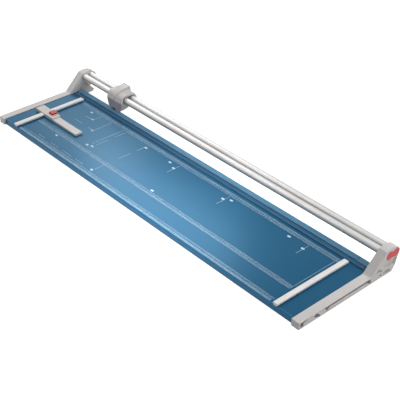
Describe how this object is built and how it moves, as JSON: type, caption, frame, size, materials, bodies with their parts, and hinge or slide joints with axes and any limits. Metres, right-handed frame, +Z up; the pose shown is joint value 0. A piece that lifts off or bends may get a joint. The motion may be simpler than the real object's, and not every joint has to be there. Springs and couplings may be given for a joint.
{
  "type": "rolling paper trimmer",
  "caption": "Long table-top paper trimmer: a head with a round blade slides on twin tubes behind a blue table with side stops, back stop and clear clamp strip.",
  "frame": {"origin": "middle of the footprint, on the surface the rubber feet stand on", "axes": "+X along the cut to the right, +Y from the user to the back, +Z up"},
  "size_m": [1.515, 0.418, 0.1115],
  "materials": {
    "table_blue": "satin blue paint with printed white rules",
    "edge_blue": "extrusion painted to match the table",
    "plug_aluminium": "plain, as turned or extruded",
    "casting_grey": "casting with satin light grey paint",
    "signal_red": "smooth red moulding",
    "tube_steel": "bright drawn tube",
    "screw_steel": "zinc plated",
    "foot_rubber": "matt black rubber",
    "ground_steel": "ground and hardened steel",
    "bar_white": "pale anodised bar",
    "clear_strip": "clear, slightly blue sheet plastic",
    "spring_steel": "spring steel",
    "head_grey": "fine-grained light grey moulding",
    "guard_grey": "fine-grained dark grey moulding",
    "bush_white": "natural sliding plastic",
    "stop_beige": "fine-grained warm grey moulding"
  },
  "bodies": {
    "base": {"table_plate": "table_blue", "front_rail": "edge_blue", "rear_rail": "plug_aluminium", "left_end_rail": "plug_aluminium", "right_end_rail": "plug_aluminium", "left_end_casting": "casting_grey", "right_end_casting": "casting_grey", "left_end_cap": "signal_red", "right_end_cap": "signal_red", "front_guide_tube": "tube_steel", "rear_guide_tube": "tube_steel", "tube_plugs": "plug_aluminium", "tube_screws": "screw_steel", "table_screws": "screw_steel", "rubber_feet": "foot_rubber", "foot_screws": "screw_steel", "counter_blade": "ground_steel", "counter_blade_screws": "screw_steel", "left_side_stop": "bar_white", "right_side_stop": "bar_white", "side_stop_screws": "screw_steel", "clamp_pins": "screw_steel", "left_clamp_leaf": "spring_steel", "right_clamp_leaf": "spring_steel"},
    "clamp": {"clamp_strip": "clear_strip"},
    "head": {"head_housing": "head_grey", "blade_guard": "guard_grey", "guard_screws": "screw_steel", "glide_bushes": "bush_white", "blade_axle": "ground_steel", "blade_spring": "spring_steel"},
    "blade": {"round_blade": "ground_steel", "blade_hub": "plug_aluminium", "blade_nut": "plug_aluminium"},
    "roller": {"roller_core": "guard_grey", "roller_tyre": "foot_rubber"},
    "stop": {"stop_saddle": "stop_beige", "stop_arm": "stop_beige", "stop_screws": "screw_steel", "brake_pad": "foot_rubber", "lock_spring": "spring_steel"},
    "button": {"lock_button": "signal_red"}
  },
  "joints": [
    {"name": "head_travel", "type": "slide", "parent": "base", "child": "head", "axis": [1, 0, 0], "range_m": [-0.171, 1.198]},
    {"name": "blade_turn", "type": "hinge", "parent": "head", "child": "blade", "pos_m": [-0.5136, 0.14368, 0.0425], "axis": [0, 1, 0], "continuous": true},
    {"name": "roller_turn", "type": "hinge", "parent": "head", "child": "roller", "pos_m": [-0.5136, 0.1363, 0.0425], "axis": [0, 1, 0], "continuous": true},
    {"name": "clamp_press", "type": "slide", "parent": "base", "child": "clamp", "axis": [0, 0, -1], "range_m": [0, 0.0013], "stiffness_N_per_m": 2000, "springref_m": -0.002, "deforming": ["left_clamp_leaf", "right_clamp_leaf"]},
    {"name": "stop_slide", "type": "slide", "parent": "base", "child": "stop", "axis": [0, 1, 0], "range_m": [-0.11, 0.135]},
    {"name": "button_press", "type": "slide", "parent": "stop", "child": "button", "axis": [0, 0, -1], "range_m": [0, 0.003], "stiffness_N_per_m": 600, "springref_m": -0.002, "deforming": ["lock_spring"]}
  ],
  "couplings": [
    {"joint": "blade_turn", "follows": "head_travel", "rad_per_m": 38.462},
    {"joint": "roller_turn", "follows": "head_travel", "rad_per_m": 68.027}
  ]
}
